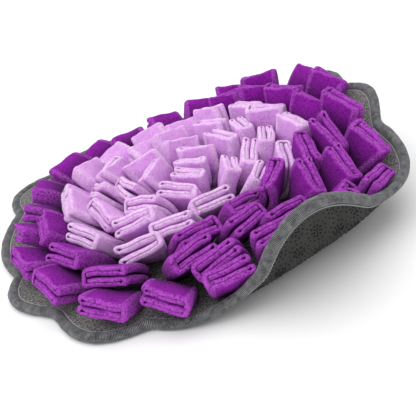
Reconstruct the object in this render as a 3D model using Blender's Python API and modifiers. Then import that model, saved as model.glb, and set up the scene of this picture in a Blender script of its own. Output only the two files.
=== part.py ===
"""A flower-shaped snuffle mat for a dog: a thin scalloped cloth mat, curled up along one side,
with rings of folded fleece petals sewn to it round a pale middle.

Metres and degrees. +Z is up, and the mat rests on z = 0. The mat is worked out as it lies flat,
as a place across (u), a place along (v) and a height above its underside, and is then bent up
into its curl. The side that curls up is at +X, and the side that a viewer stands at is at -Y.
"""

import collections
import math

import bmesh
import bpy
import numpy as np
from mathutils import Vector
from mathutils.bvhtree import BVHTree

MM = 0.001

# The mat as cut: a disc of this radius, a little longer one way, with twelve lobes round it.
MAT_RADIUS = 0.215
OVAL = 1.034
OVAL_DIRECTION = 130.3
LOBE_COUNT = 12
FIRST_LOBE = 121.1
NOTCH_SHARE = 0.058
PEAK_ROUNDNESS = 0.02
STATIONS_PER_LOBE = 7

# How far each lobe's tip stands out past the radius, how far the notch before it is moved round,
# and how much further out than the lobe the rings of petals stand there.
Lobe = collections.namedtuple("Lobe", "reach_mm shift_deg petals_mm")
LOBES = (
    Lobe(1, 0.6, -22),
    Lobe(5, 2.0, -22),
    Lobe(-16, -1.0, -18),
    Lobe(-5, 5.2, 4),
    Lobe(0, -0.6, 20),
    Lobe(-17, -3.3, 22),
    Lobe(17, -5.2, 10),
    Lobe(2, 1.7, 12),
    Lobe(-4, 5.2, 12),
    Lobe(1, 0.5, 10),
    Lobe(0, 0.6, 4),
    Lobe(0, 0.0, -14),
)

# The curl, as evenly spaced rows across the mat from the near side to the far side: where the bend
# starts, how much cloth is in the bend, and the slope that it ends with.
CURL_DIRECTION = -10.3
Bend = collections.namedtuple("Bend", "start_mm length_mm slope_deg")
BENDS = (
    Bend(-42, 117, 55.1),
    Bend(41, 117, 54.9),
    Bend(75, 167, 45.2),
    Bend(39, 153, 38.6),
    Bend(3, 130, 32.4),
    Bend(-21, 109, 27.9),
    Bend(-32, 97, 23.1),
)
ROW_STEP = 2 / (len(BENDS) - 1)
BEND_STEPS = 12

# The cloths and the rolled binding round their edge.
BACKING_THICKNESS = 1.8 * MM
FELT_THICKNESS = 2.0 * MM
GAP = 0.3 * MM
EDGE_RISE = 1.5 * MM
RISE_STARTS = 12 * MM
RISE_WIDTH = 25 * MM
BINDING_WIDTH = 9.0 * MM
BINDING_HEIGHT = 8.6 * MM
GROOVE_DEPTH = 4.5 * MM
LIP_THICKNESS = 1.2 * MM
RING_SHARES = (0.0, 0.14, 0.27, 0.38, 0.48, 0.57, 0.65, 0.73, 0.81, 0.89)
EDGE_INSETS = (20 * MM, BINDING_WIDTH, GROOVE_DEPTH + 2 * GAP)

# The fleece petals: strips folded over lengthwise, so that each is two thick layers with a slit
# between them, sewn by one end to a narrow tape.
PETAL_THICKNESS = 11.0 * MM
SLIT = 1.4 * MM
FOLD_THICKNESS = 3.5 * MM
ROOT_WIDTH_SHARE = 0.62
ROOT_THICKNESS_SHARE = 0.62
SHOULDER = 0.38
ROOT_LEAN_SHARE = 0.55
TAPE_WIDTH = 10 * MM
TAPE_THICKNESS = 1.8 * MM
TAPE_GAP = 0.9 * MM
ROOT_DEPTH = 1.2 * MM
CLEARANCE = 0.6 * MM
STRAY_SEED = 7

# A petal that would touch another is righted, straightened, narrowed and shortened by these
# shares, again and again until it is clear.
RIGHTING = 0.95
STRAIGHTENING = 0.80
NARROWING = 0.97
SHORTENING = 0.985
MOST_SETTLING = 30

# The petals lean outward by their ring's near_deg, falling to its far_deg at the far side.
FAR_DIRECTION = 42.0
FAR_NARROWING = 6

# Rings of petals from the rim inward, each of this many petals at this many pitches to the circle,
# and on so many tapes, of which the last few are purple and the rest lilac. The leans are from
# upright, and the last three columns say how far a petal's lean, heading and twist stray.
Ring = collections.namedtuple(
    "Ring",
    "name share pitches count first_deg near_deg far_deg width_mm length_mm arcs purple_arcs"
    " stray_lean stray_heading stray_twist",
)
RINGS = (
    Ring("outer", 0.675, 22, 22, 13.4, 77, 45, 42, 52, 11, 11, 5, 10, 14),
    Ring("second", 0.56, 20, 13, 204, 72, 40, 42, 56, 7, 7, 7, 12, 14),
    Ring("third", 0.45, 17, 17, 3, 68, 28, 42, 55, 7, 2, 8, 14, 18),
    Ring("fourth", 0.32, 13, 13, 343, 62, 24, 42, 51, 6, 1, 8, 18, 22),
    Ring("fifth", 0.215, 8, 8, 5, 54, 18, 42, 47, 4, 0, 9, 22, 30),
    Ring("inner", 0.13, 4, 4, 66, 36, 8, 38, 43, 2, 0, 7, 25, 35),
    Ring("middle", 0.045, 2, 2, 80, 8, 2, 32, 40, 1, 0, 3, 8, 14),
)

# Petals that stand or head quite unlike the rest of their ring.
StandOut = collections.namedtuple("StandOut", "ring petal lean_deg heading_deg twist_deg")
STAND_OUTS = (
    StandOut("outer", 0, 72, 0, -22),
    StandOut("outer", 1, 80, -12, -12),
    StandOut("outer", 2, 48, 0, -14),
    StandOut("outer", 5, 80, 8, 6),
    StandOut("outer", 6, 80, -10, -8),
    StandOut("outer", 7, 80, 6, 10),
    StandOut("outer", 8, 80, -6, -6),
    StandOut("outer", 20, 66, 0, -20),
    StandOut("outer", 21, 62, 0, -16),
    StandOut("second", 3, 70, 38, 0),
    StandOut("second", 7, 52, 0, -50),
    StandOut("second", 8, 52, 0, -46),
    StandOut("second", 9, 58, 0, -26),
    StandOut("second", 10, 52, 0, -24),
    StandOut("second", 11, 40, 0, -42),
    StandOut("third", 0, 50, 0, -10),
    StandOut("third", 1, 30, 0, -42),
    StandOut("third", 4, 72, 8, -6),
    StandOut("third", 5, 74, -12, 8),
    StandOut("third", 6, 74, 10, -4),
    StandOut("third", 11, 70, 42, 0),
    StandOut("third", 12, 54, 45, 0),
    StandOut("third", 13, 60, 32, 4),
    StandOut("third", 15, 45, 0, -56),
    StandOut("third", 16, 45, 0, -44),
    StandOut("fourth", 11, 46, 35, 4),
    StandOut("fourth", 12, 24, 0, -10),
)

Fleece = collections.namedtuple("Fleece", "colour roughness")
FLEECES = {
    "purple": Fleece((0.20, 0.02, 0.33), 0.95),
    "lilac": Fleece((0.62, 0.36, 0.72), 0.95),
}


def spline_through(values):
    """A natural cubic curve through the values at the evenly spaced rows of the mat."""
    values = np.array(values, float)
    count = len(values)
    system = np.eye(count)
    right = np.zeros(count)
    for i in range(1, count - 1):
        system[i, i - 1 : i + 2] = (1, 4, 1)
        right[i] = 6 * (values[i - 1] - 2 * values[i] + values[i + 1]) / ROW_STEP**2
    curving = np.linalg.solve(system, right)

    def at(row):
        row = np.clip(row, -1.1, 1.1)
        i = np.clip(((row + 1) // ROW_STEP).astype(int), 0, count - 2)
        a = (-1 + (i + 1) * ROW_STEP - row) / ROW_STEP
        b = 1 - a
        bow = (a**3 - a) * curving[i] + (b**3 - b) * curving[i + 1]
        return a * values[i] + b * values[i + 1] + bow * ROW_STEP**2 / 6

    return at


bend_start = spline_through([b.start_mm * MM for b in BENDS])
bend_length = spline_through([b.length_mm * MM for b in BENDS])
bend_slope = spline_through([math.radians(b.slope_deg) for b in BENDS])


def smooth_step(x):
    x = np.clip(x, 0, 1)
    return x * x * (3 - 2 * x)


def bent(u, v):
    """The mat's underside in space, for places on the mat as it lies flat."""
    turn = math.radians(CURL_DIRECTION)
    cos_turn, sin_turn = math.cos(turn), math.sin(turn)
    s = u * cos_turn + v * sin_turn
    t = v * cos_turn - u * sin_turn
    row = t / MAT_RADIUS
    start, length, slope = bend_start(row), bend_length(row), bend_slope(row)
    past = np.maximum(s - start, 0)
    inside = np.minimum(past, length)
    x = np.minimum(s, start)
    z = np.zeros_like(x)
    for i in range(BEND_STEPS):
        share = (i + 0.5) / BEND_STEPS
        angle = slope * smooth_step(inside * share / length)
        x = x + inside / BEND_STEPS * np.cos(angle)
        z = z + inside / BEND_STEPS * np.sin(angle)
    x = x + (past - inside) * np.cos(slope)
    z = z + (past - inside) * np.sin(slope)
    return np.stack([x * cos_turn - t * sin_turn, x * sin_turn + t * cos_turn, z], -1)


def placed(flat):
    """Points in space for rows of (across, along, height above the underside)."""
    flat = np.asarray(flat, float)
    u, v, height = flat[..., 0], flat[..., 1], flat[..., 2]
    step = 0.5 * MM
    across = bent(u + step, v) - bent(u - step, v)
    along = bent(u, v + step) - bent(u, v - step)
    normal = np.cross(across, along)
    normal /= np.linalg.norm(normal, axis=-1, keepdims=True)
    return bent(u, v) + normal * height[..., None]


def oval(points):
    """Plan points of the round mat, stretched to its slightly oval cut."""
    turn = math.radians(OVAL_DIRECTION)
    axis = np.array([math.cos(turn), math.sin(turn)])
    return points + np.outer(points @ axis * (OVAL - 1), axis)


def on_ring(radius, degrees):
    angle = np.radians(np.atleast_1d(degrees))
    return oval(np.stack([np.cos(angle), np.sin(angle)], -1) * np.reshape(radius, (-1, 1)))


def lobe_spans():
    """The angles of the notches round the rim, the first again at the end, and each lobe's radius."""
    pitch = 360 / LOBE_COUNT
    notches = [FIRST_LOBE + (k - 0.5) * pitch + lobe.shift_deg for k, lobe in enumerate(LOBES)]
    notches.append(notches[0] + 360)
    return notches, [MAT_RADIUS + lobe.reach_mm * MM for lobe in LOBES]


def petal_ring(share, degrees, offset=0.0):
    """A plan point on a ring of petals, which keeps this share of the way out to the rim's lobes."""
    notches, radii = lobe_spans()
    middles = [(before + after) / 2 for before, after in zip(notches, notches[1:])]
    radii = [radius + lobe.petals_mm * MM for radius, lobe in zip(radii, LOBES)]
    return on_ring(share * np.interp(degrees, middles, radii, period=360) + offset, degrees)[0]


def scalloped_rim():
    """Plan points round the rim, a fixed number to a lobe, and the outward direction at each."""
    notches, radii = lobe_spans()
    low, high = math.sqrt(PEAK_ROUNDNESS), math.sqrt(1 + PEAK_ROUNDNESS)
    points = []
    for k, radius in enumerate(radii):
        before = (radius + radii[k - 1]) / 2
        after = (radius + radii[(k + 1) % LOBE_COUNT]) / 2
        for i in range(STATIONS_PER_LOBE):
            share = i / STATIONS_PER_LOBE
            bulge = math.sqrt(math.sin(math.pi * share) ** 2 + PEAK_ROUNDNESS)
            bulge = (bulge - low) / (high - low)
            base = (before * (1 - share) + after * share) * (1 - NOTCH_SHARE)
            angle = notches[k] * (1 - share) + notches[k + 1] * share
            points.append(on_ring(base + (radius - base) * bulge, angle)[0])
    points = np.array(points)
    along = np.roll(points, -1, axis=0) - np.roll(points, 1, axis=0)
    outward = np.stack([along[:, 1], -along[:, 0]], -1)
    return points, outward / np.linalg.norm(outward, axis=1, keepdims=True)


def edge_rise(inset):
    """How far the cloths stand off the floor where the binding's lower lip lies under them."""
    return EDGE_RISE * (1 - smooth_step((inset - RISE_STARTS) / RISE_WIDTH))


def cloth_material(name, colour, roughness):
    material = bpy.data.materials.new(name)
    material.use_nodes = True
    shader = material.node_tree.nodes["Principled BSDF"]
    shader.inputs["Base Color"].default_value = (*colour, 1)
    shader.inputs["Roughness"].default_value = roughness
    shader.inputs["Metallic"].default_value = 0
    return material


def new_object(name, mesh, material, collection):
    mesh.shade_smooth()
    mesh.set_sharp_from_angle(angle=math.radians(40))
    mesh.materials.append(material)
    piece = bpy.data.objects.new(name, mesh)
    collection.objects.link(piece)
    return piece


def mesh_from(name, points, faces):
    mesh = bpy.data.meshes.new(name)
    mesh.from_pydata([tuple(p) for p in points], [], faces)
    mesh.update()
    return mesh


def loft_faces(stations, sides, closed, crossed=()):
    """Triangles of a tube of this many stations, each a loop of this many points. On the sides in
    crossed, the squares are halved along their other diagonal."""
    faces = []
    for i in range(stations if closed else stations - 1):
        j = (i + 1) % stations
        for k in range(sides):
            m = (k + 1) % sides
            a, b, c, d = i * sides + k, i * sides + m, j * sides + m, j * sides + k
            faces += [(a, b, d), (b, c, d)] if k in crossed else [(a, b, c), (a, c, d)]
    return faces


def cloth_sheet(name, height, thickness, material, collection, rim, outward):
    """A whole cloth of the mat, from its centre to its edge inside the binding's groove."""
    loops = [np.zeros((1, 2))]
    insets = [RISE_STARTS + RISE_WIDTH]
    inner = rim - outward * EDGE_INSETS[0]
    for share in RING_SHARES[1:]:
        loops.append(inner * share)
        insets.append(RISE_STARTS + RISE_WIDTH)
    for inset in EDGE_INSETS:
        loops.append(rim - outward * inset)
        insets.append(inset)
    shell = bmesh.new()
    rings = []
    for loop, inset in zip(loops, insets):
        heights = np.full((len(loop), 1), height + edge_rise(inset))
        rings.append([shell.verts.new(p) for p in placed(np.hstack([loop, heights]))])
    centre = rings[0][0]
    count = len(rim)
    for i in range(count):
        j = (i + 1) % count
        shell.faces.new((centre, rings[1][i], rings[1][j]))
        for near, far in zip(rings[1:], rings[2:]):
            # Each square is halved along its lower diagonal, which follows the hollow of the curl.
            lower = (near[i].co + far[j].co).z < (far[i].co + near[j].co).z
            if lower and far is not rings[-1]:
                shell.faces.new((near[i], far[i], far[j]))
                shell.faces.new((near[i], far[j], near[j]))
            else:
                shell.faces.new((near[i], far[i], near[j]))
                shell.faces.new((far[i], far[j], near[j]))
    shell.normal_update()
    bmesh.ops.dissolve_limit(
        shell,
        angle_limit=math.radians(0.05),
        use_dissolve_boundaries=False,
        verts=shell.verts,
        edges=shell.edges,
    )
    bmesh.ops.triangulate(shell, faces=shell.faces)
    mesh = bpy.data.meshes.new(name)
    shell.to_mesh(mesh)
    shell.free()
    piece = new_object(name, mesh, material, collection)
    thicken = piece.modifiers.new("Cloth thickness", "SOLIDIFY")
    thicken.thickness = thickness
    thicken.offset = 1
    return piece


def edge_binding(material, collection, rim, outward):
    """The rolled binding, a closed ring whose groove holds the edges of both cloths."""
    groove_low = LIP_THICKNESS
    groove_high = EDGE_RISE + BACKING_THICKNESS + FELT_THICKNESS + 2.5 * GAP
    width, top = BINDING_WIDTH, BINDING_HEIGHT
    section = (
        (width, groove_low),
        (GROOVE_DEPTH, groove_low),
        (GROOVE_DEPTH, groove_high),
        (width, groove_high),
        (width, 0.82 * top),
        (0.74 * width, 0.98 * top),
        (0.32 * width, top),
        (0.03 * width, 0.68 * top),
        (0.0, 0.30 * top),
        (0.22 * width, 0.0),
        (width, 0.0),
    )
    loops = []
    for point, direction in zip(rim, outward):
        for inset, height in section:
            loops.append((*(point - direction * inset), height))
    groove_floor = 0
    faces = loft_faces(len(rim), len(section), closed=True, crossed=(groove_floor,))
    mesh = mesh_from("edge_binding", placed(loops), faces)
    return new_object("edge_binding", mesh, material, collection)


class Petal:
    """One folded strip of fleece: where it is sewn, and how it leans, heads and twists."""

    def __init__(self, ring, degrees, lean_deg, heading_deg, twist_deg):
        self.degrees = degrees
        self.lean = math.radians(lean_deg)
        self.heading = math.radians(heading_deg)
        self.twist = math.radians(twist_deg)
        self.width = ring.width_mm * MM
        self.length = ring.length_mm * MM
        self.root = np.array([*petal_ring(ring.share, degrees), petal_foot()])
        angle = math.radians(degrees)
        self.outward = np.array([math.cos(angle), math.sin(angle), 0])
        self.along = np.array([-math.sin(angle), math.cos(angle), 0])

    def settle(self):
        """Draws the petal in a little, so that it keeps clear of its neighbours."""
        self.lean *= RIGHTING
        self.heading *= STRAIGHTENING
        self.twist *= STRAIGHTENING
        self.width *= NARROWING
        self.length *= SHORTENING

    def frames(self):
        """(centre, width direction, thickness direction, width share, thickness share) at the
        root, the shoulder and the tip."""
        out = self.outward * math.cos(self.heading) + self.along * math.sin(self.heading)
        side = self.along * math.cos(self.heading) - self.outward * math.sin(self.heading)
        up = np.array([0.0, 0.0, 1.0])
        centre = self.root.copy()
        reached = 0.0
        found = []
        for share in (0.0, SHOULDER, 1.0):
            lean = self.lean * (ROOT_LEAN_SHARE + (1 - ROOT_LEAN_SHARE) * share)
            axis = up * math.cos(lean) + out * math.sin(lean)
            centre = centre + axis * (share - reached) * self.length
            reached = share
            # The root is cut level, so that it sits flat on its tape.
            tilt = lean if share else 0.0
            face = out * math.cos(tilt) - up * math.sin(tilt)
            twist = self.twist * share
            wide = side * math.cos(twist) + face * math.sin(twist)
            thick = face * math.cos(twist) - side * math.sin(twist)
            full = smooth_step(share / SHOULDER)
            found.append(
                (
                    centre,
                    wide,
                    thick,
                    ROOT_WIDTH_SHARE + (1 - ROOT_WIDTH_SHARE) * full,
                    ROOT_THICKNESS_SHARE + (1 - ROOT_THICKNESS_SHARE) * full,
                )
            )
        return found

    def points(self, section):
        """Flat-mat points of the section (in metres across the width and the thickness)."""
        rows = []
        for centre, wide, thick, wide_share, thick_share in self.frames():
            for across, through in section:
                rows.append(centre + wide * across * wide_share + thick * through * thick_share)
        return np.array(rows)

    def folded_section(self):
        half, deep = self.width / 2, PETAL_THICKNESS / 2
        slit, fold = SLIT / 2, half - FOLD_THICKNESS
        return (
            (-half, -deep),
            (half, -deep),
            (half, -slit),
            (-fold, -slit),
            (-fold, slit),
            (half, slit),
            (half, deep),
            (-half, deep),
        )

    def outer_section(self, spare):
        half, deep = self.width / 2 + spare, PETAL_THICKNESS / 2 + spare
        return ((-half, -deep), (half, -deep), (half, deep), (-half, deep))

    def tree(self, spare):
        """A search tree of the petal's plain outer form, this much bigger all round."""
        points = [Vector(p) for p in placed(self.points(self.outer_section(spare)))]
        stations = len(self.frames())
        faces = loft_faces(stations, 4, closed=False)
        faces.append((0, 1, 2, 3))
        faces.append(tuple(4 * (stations - 1) + k for k in range(4)))
        return BVHTree.FromPolygons(points, faces)


def petal_foot():
    """The height at which a petal starts, inside its tape."""
    felt_top = BACKING_THICKNESS + GAP + FELT_THICKNESS
    return felt_top + TAPE_GAP + TAPE_THICKNESS - ROOT_DEPTH


def grown_petals(obstacles):
    """Every petal by ring, each settled clear of the obstacles and of those already placed."""
    chance = np.random.default_rng(STRAY_SEED)
    stand_outs = {(row.ring, row.petal): row[2:] for row in STAND_OUTS}
    rings, standing = [], list(obstacles)
    for ring in RINGS:
        petals = []
        for i in range(ring.count):
            degrees = ring.first_deg + 360 * i / ring.pitches
            farness = (1 + math.cos(math.radians(degrees - FAR_DIRECTION))) / 2
            lean = ring.near_deg + (ring.far_deg - ring.near_deg) * farness**FAR_NARROWING
            most = np.array([ring.stray_lean, ring.stray_heading, ring.stray_twist])
            turns = chance.uniform(-1, 1, 3) * most + (lean, 0, 0)
            petal = Petal(ring, degrees, *stand_outs.get((ring.name, i), turns))
            for _ in range(MOST_SETTLING):
                around = petal.tree(CLEARANCE)
                if not any(around.overlap(tree) for tree in standing):
                    break
                petal.settle()
            standing.append(petal.tree(0.0))
            petals.append(petal)
        rings.append((ring, petals))
    return rings


def tape_points(ring, first, last, count):
    """Flat-mat points of the tape that a run of petals is sewn to, a rectangle at each station."""
    low = BACKING_THICKNESS + GAP + FELT_THICKNESS + TAPE_GAP
    rows = []
    for degrees in np.linspace(first, last, count):
        inner = petal_ring(ring.share, degrees, -TAPE_WIDTH / 2)
        outer = petal_ring(ring.share, degrees, TAPE_WIDTH / 2)
        rows += [
            (*outer, low),
            (*outer, low + TAPE_THICKNESS),
            (*inner, low + TAPE_THICKNESS),
            (*inner, low),
        ]
    return rows


def sewn_arc(name, ring, petals, material, collection, cutters):
    """One run of petals fused by their roots to its tape."""
    pitch = 360 / ring.pitches
    first = petals[0].degrees - 0.46 * pitch
    last = petals[-1].degrees + 0.46 * pitch
    count = 2 * len(petals) + 1
    faces = loft_faces(count, 4, closed=False)
    faces.append((3, 2, 1, 0))
    faces.append(tuple(4 * (count - 1) + k for k in range(4)))
    mesh = mesh_from(name, placed(tape_points(ring, first, last, count)), faces)
    piece = new_object(name, mesh, material, collection)
    for i, petal in enumerate(petals):
        section = petal.folded_section()
        stations = len(petal.frames())
        sides = len(section)
        faces = loft_faces(stations, sides, closed=False)
        faces.append(tuple(reversed(range(sides))))
        faces.append(tuple(sides * (stations - 1) + k for k in range(sides)))
        mesh = mesh_from(f"{name}_petal_{i}", placed(petal.points(section)), faces)
        helper = new_object(f"{name}_petal_{i}", mesh, material, cutters)
        helper.hide_render = True
        helper.display_type = "WIRE"
        join = piece.modifiers.new(f"Petal {i}", "BOOLEAN")
        join.operation = "UNION"
        join.object = helper
    return piece


def main():
    for old in list(bpy.data.objects):
        bpy.data.objects.remove(old, do_unlink=True)
    scene = bpy.context.scene
    mat = bpy.data.collections.new("snuffle_mat")
    cutters = bpy.data.collections.new("petal_forms")
    scene.collection.children.link(mat)
    scene.collection.children.link(cutters)

    rim, outward = scalloped_rim()
    felt = cloth_material("grey_felt", (0.21, 0.19, 0.17), 0.95)
    grip = cloth_material("dark_grip_cloth", (0.03, 0.03, 0.03), 0.85)
    tape = cloth_material("grey_binding", (0.13, 0.135, 0.14), 0.9)
    fleeces = {name: cloth_material(f"{name}_fleece", *fleece) for name, fleece in FLEECES.items()}

    backing = cloth_sheet("grip_backing", 0.0, BACKING_THICKNESS, grip, mat, rim, outward)
    felt_height = BACKING_THICKNESS + GAP
    top = cloth_sheet("felt_base", felt_height, FELT_THICKNESS, felt, mat, rim, outward)
    binding = edge_binding(tape, mat, rim, outward)
    pieces = [backing, top, binding]
    bpy.context.view_layer.update()
    graph = bpy.context.evaluated_depsgraph_get()
    obstacles = [BVHTree.FromObject(piece, graph) for piece in (top, binding)]
    for ring, petals in grown_petals(obstacles):
        starts = [round(i * ring.count / ring.arcs) for i in range(ring.arcs + 1)]
        for i, (start, end) in enumerate(zip(starts, starts[1:])):
            name = f"petals_{ring.name}_{i + 1}"
            purple = i >= ring.arcs - ring.purple_arcs
            material = fleeces["purple" if purple else "lilac"]
            pieces.append(sewn_arc(name, ring, petals[start:end], material, mat, cutters))

    # The origin is under the middle of the whole object's box.
    bpy.context.view_layer.update()
    graph = bpy.context.evaluated_depsgraph_get()
    corners = []
    for piece in pieces:
        shape = piece.evaluated_get(graph).to_mesh()
        found = np.array([vertex.co for vertex in shape.vertices])
        corners += [found.min(axis=0), found.max(axis=0)]
        piece.evaluated_get(graph).to_mesh_clear()
    corners = np.array(corners)
    middle = (corners.min(axis=0) + corners.max(axis=0)) / 2
    stand = bpy.data.objects.new("snuffle_mat_origin", None)
    mat.objects.link(stand)
    stand.location = (-middle[0], -middle[1], 0)
    for piece in list(mat.objects) + list(cutters.objects):
        if piece is not stand:
            piece.parent = stand


main()
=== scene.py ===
"""The looks of a flower-shaped snuffle mat for a dog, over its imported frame.

Metres and degrees, in the frame's own place: +Z is up, the mat rests on z = 0, and the side that
curls up is at +X. Each part is worked out on the mat as it lies flat, and then bent up with it.
"""

import collections
import math

import bpy
import numpy as np
from mathutils import Matrix, Vector
from mathutils.kdtree import KDTree


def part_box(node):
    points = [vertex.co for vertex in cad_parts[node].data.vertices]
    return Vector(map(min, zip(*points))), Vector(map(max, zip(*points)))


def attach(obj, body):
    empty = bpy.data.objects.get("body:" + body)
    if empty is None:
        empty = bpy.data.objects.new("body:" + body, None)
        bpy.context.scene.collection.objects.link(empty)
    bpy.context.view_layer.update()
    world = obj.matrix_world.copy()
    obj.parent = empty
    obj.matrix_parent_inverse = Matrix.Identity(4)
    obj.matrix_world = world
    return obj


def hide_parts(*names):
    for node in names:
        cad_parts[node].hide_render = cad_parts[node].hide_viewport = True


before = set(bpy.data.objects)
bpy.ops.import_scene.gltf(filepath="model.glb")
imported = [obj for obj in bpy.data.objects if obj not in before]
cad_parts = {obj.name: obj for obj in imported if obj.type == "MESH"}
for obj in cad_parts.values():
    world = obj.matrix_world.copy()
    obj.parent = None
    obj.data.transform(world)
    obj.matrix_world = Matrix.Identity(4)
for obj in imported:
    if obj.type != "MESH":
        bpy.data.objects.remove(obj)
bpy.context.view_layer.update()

# Non-slip backing. The underside is a thin charcoal knitted cloth, cut to twelve shallow lobes. It
# carries the whole mat's curl, which is given by rows across the mat from the near side to the far
# side: where the bend starts, how much cloth is in it, and the slope that it ends with.
MM = 0.001
MAT_RADIUS = 0.215
OVAL = 1.034
OVAL_DIRECTION = 130.3
FIRST_LOBE = 121.1
NOTCH_SHARE = 0.058
PEAK_ROUNDNESS = 0.02
LOBE_REACH_MM = (1, 5, -16, -5, 0, -17, 17, 2, -4, 1, 0, 0)
NOTCH_SHIFT_DEG = (0.6, 2.0, -1.0, 5.2, -0.6, -3.3, -5.2, 1.7, 5.2, 0.5, 0.6, 0.0)
LOBES = len(LOBE_REACH_MM)
CURL_DIRECTION = -10.3
BEND_START_MM = (-42, 41, 75, 39, 3, -21, -32)
BEND_LENGTH_MM = (117, 117, 167, 153, 130, 109, 97)
BEND_SLOPE_DEG = (55.1, 54.9, 45.2, 38.6, 32.4, 27.9, 23.1)
BEND_STEPS = 12
ROWS_HOLD_TO = 1.1
BACKING_LOW = 0.4 * MM
BACKING_HIGH = 1.8 * MM
GRIP_DARK = (0.013, 0.0127, 0.0124)
GRIP_LIGHT = (0.058, 0.057, 0.055)
EDGE_RISE = 1.5 * MM
RISE_STARTS = 12 * MM
RISE_WIDTH = 25 * MM
# Both cloths end inside the binding. They are drawn as rings of points, which lie closer
# together in the band along the rim, and may ripple by so many radians for each metre.
CLOTH_EDGE = 5.1 * MM
CLOTH_STATIONS = 16
CLOTH_RINGS = 40
MIDDLE_RING = 0.02
EDGE_BAND = 20 * MM
EDGE_RINGS = 8
RIPPLE_ACROSS = 190
RIPPLE_ALONG = 140
RIPPLE_MEANDER = 2.1


def natural_spline(knots, targets):
    """The matrix that takes values at the evenly spaced knots to a natural cubic at the targets."""
    count = len(knots)
    step = knots[1] - knots[0]
    system, right = np.eye(count), np.zeros((count, count))
    for i in range(1, count - 1):
        system[i, i - 1 : i + 2] = (1, 4, 1)
        right[i, i - 1 : i + 2] = np.array((6, -12, 6)) / step**2
    curving = np.linalg.solve(system, right)
    targets = np.asarray(targets, float)
    i = np.clip(((targets - knots[0]) // step).astype(int), 0, count - 2)
    a = ((knots[0] + (i + 1) * step - targets) / step)[..., None]
    b = 1 - a
    unit = np.eye(count)
    bow = ((a**3 - a) * curving[i] + (b**3 - b) * curving[i + 1]) * step**2 / 6
    return a * unit[i] + b * unit[i + 1] + bow


def smooth_step(x):
    x = np.clip(x, 0, 1)
    return x * x * (3 - 2 * x)


def bent(u, v):
    """The mat's underside in space, for places on the mat as it lies flat."""
    turn = math.radians(CURL_DIRECTION)
    cos_turn, sin_turn = math.cos(turn), math.sin(turn)
    s = u * cos_turn + v * sin_turn
    t = v * cos_turn - u * sin_turn
    rows = np.linspace(-1, 1, len(BEND_START_MM))
    weights = natural_spline(rows, np.clip(t / MAT_RADIUS, -ROWS_HOLD_TO, ROWS_HOLD_TO))
    start = weights @ (np.array(BEND_START_MM) * MM)
    length = weights @ (np.array(BEND_LENGTH_MM) * MM)
    slope = weights @ np.radians(BEND_SLOPE_DEG)
    past = np.maximum(s - start, 0)
    inside = np.minimum(past, length)
    x = np.minimum(s, start)
    z = np.zeros_like(x)
    for i in range(BEND_STEPS):
        share = (i + 0.5) / BEND_STEPS
        angle = slope * smooth_step(inside * share / length)
        x = x + inside / BEND_STEPS * np.cos(angle)
        z = z + inside / BEND_STEPS * np.sin(angle)
    x = x + (past - inside) * np.cos(slope)
    z = z + (past - inside) * np.sin(slope)
    return np.stack([x * cos_turn - t * sin_turn, x * sin_turn + t * cos_turn, z], -1)


def upward(u, v):
    """The directions across, along and out of the bent mat at flat places."""
    step = 0.5 * MM
    across = bent(u + step, v) - bent(u - step, v)
    along = bent(u, v + step) - bent(u, v - step)
    normal = np.cross(across, along)
    normal /= np.linalg.norm(normal, axis=-1, keepdims=True)
    across /= np.linalg.norm(across, axis=-1, keepdims=True)
    return across, np.cross(normal, across), normal


def placed(flat):
    """Points in the frame for rows of (across, along, height above the underside)."""
    flat = np.asarray(flat, float)
    u, v, height = flat[..., 0], flat[..., 1], flat[..., 2]
    return bent(u, v) + upward(u, v)[2] * height[..., None] - ORIGIN


def on_ring(radius, degrees):
    """Plan points at this radius of the round mat, stretched to its slightly oval cut."""
    angle = np.radians(degrees)
    points = np.stack([np.cos(angle), np.sin(angle)], -1) * np.asarray(radius)[..., None]
    turn = math.radians(OVAL_DIRECTION)
    axis = np.array([math.cos(turn), math.sin(turn)])
    return points + (points @ axis)[..., None] * (OVAL - 1) * axis


def lobe_spans():
    """The angles of the notches round the rim, the first again at the end, and the lobes' radii."""
    pitch = 360 / LOBES
    notches = [FIRST_LOBE + (k - 0.5) * pitch + s for k, s in enumerate(NOTCH_SHIFT_DEG)]
    notches.append(notches[0] + 360)
    return np.array(notches), MAT_RADIUS + np.array(LOBE_REACH_MM) * MM


def scalloped_rim(stations_per_lobe):
    """Plan points round the rim, and the outward direction at each."""
    notches, radii = lobe_spans()
    low, high = math.sqrt(PEAK_ROUNDNESS), math.sqrt(1 + PEAK_ROUNDNESS)
    lobe = np.repeat(np.arange(LOBES), stations_per_lobe)
    share = np.tile(np.arange(stations_per_lobe) / stations_per_lobe, LOBES)
    radius = radii[lobe]
    before = (radius + radii[lobe - 1]) / 2
    after = (radius + radii[(lobe + 1) % LOBES]) / 2
    bulge = (np.sqrt(np.sin(np.pi * share) ** 2 + PEAK_ROUNDNESS) - low) / (high - low)
    base = (before * (1 - share) + after * share) * (1 - NOTCH_SHARE)
    angle = notches[lobe] * (1 - share) + notches[lobe + 1] * share
    points = on_ring(base + (radius - base) * bulge, angle)
    along = np.roll(points, -1, axis=0) - np.roll(points, 1, axis=0)
    outward = np.stack([along[:, 1], -along[:, 0]], -1)
    return points, outward / np.linalg.norm(outward, axis=1, keepdims=True)


def edge_rise(inset):
    """How far the cloths stand off the floor where the binding's lower lip lies under them."""
    return EDGE_RISE * (1 - smooth_step((inset - RISE_STARTS) / RISE_WIDTH))


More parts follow.
